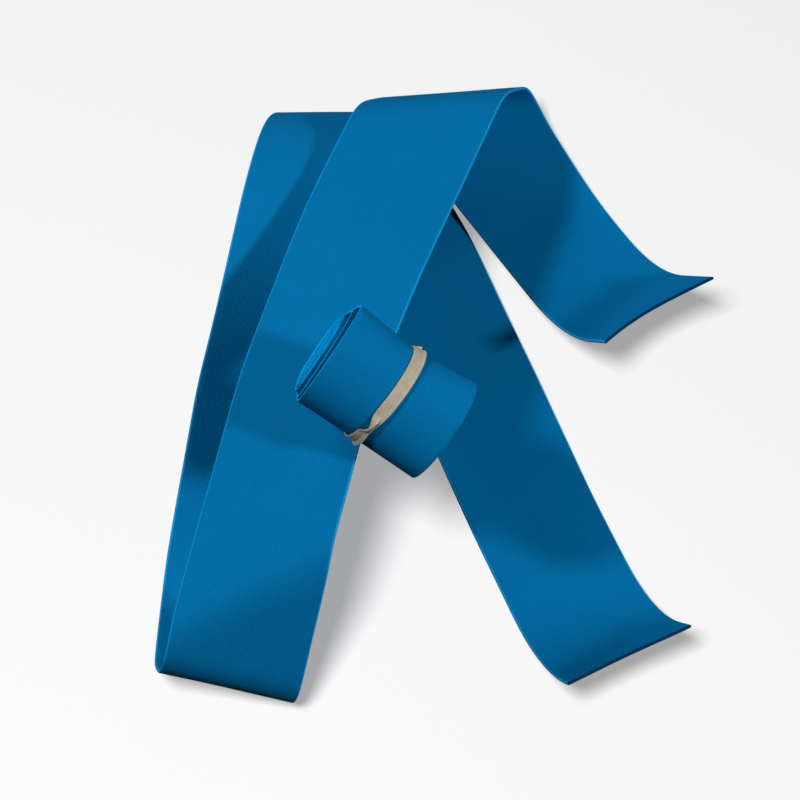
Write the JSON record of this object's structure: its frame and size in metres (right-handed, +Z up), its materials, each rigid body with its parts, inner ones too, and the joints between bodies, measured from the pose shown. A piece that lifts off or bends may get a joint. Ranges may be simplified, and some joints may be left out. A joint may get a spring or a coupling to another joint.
{
  "type": "hand wrap",
  "caption": "Elastic hand wraps for boxing: one strap standing in loose folds, the other wound into a roll held by a rubber band.",
  "frame": {"origin": "middle of the whole set's box, on the surface it stands on", "axes": "+Z up, +Y from the foot of the front fold towards the ridges at the back, +X towards the strap's two free ends"},
  "size_m": [0.1958, 0.2594, 0.1225],
  "materials": {
    "webbing": "matte woven elastic webbing, blue",
    "band": "matte natural latex, cream"
  },
  "bodies": {
    "loose": {"loose_wrap": "webbing"},
    "roll": {"rolled_wrap": "webbing"},
    "band": {"rubber_band": "band"}
  },
  "joints": [
    {"name": "roll_lift", "type": "slide", "parent": "loose", "child": "roll", "axis": [0, 0, 1], "range_m": [0, 0.08]},
    {"name": "band_slide", "type": "slide", "parent": "roll", "child": "band", "axis": [-0.8336, 0.3181, 0.4517], "range_m": [0, 0.034]}
  ]
}
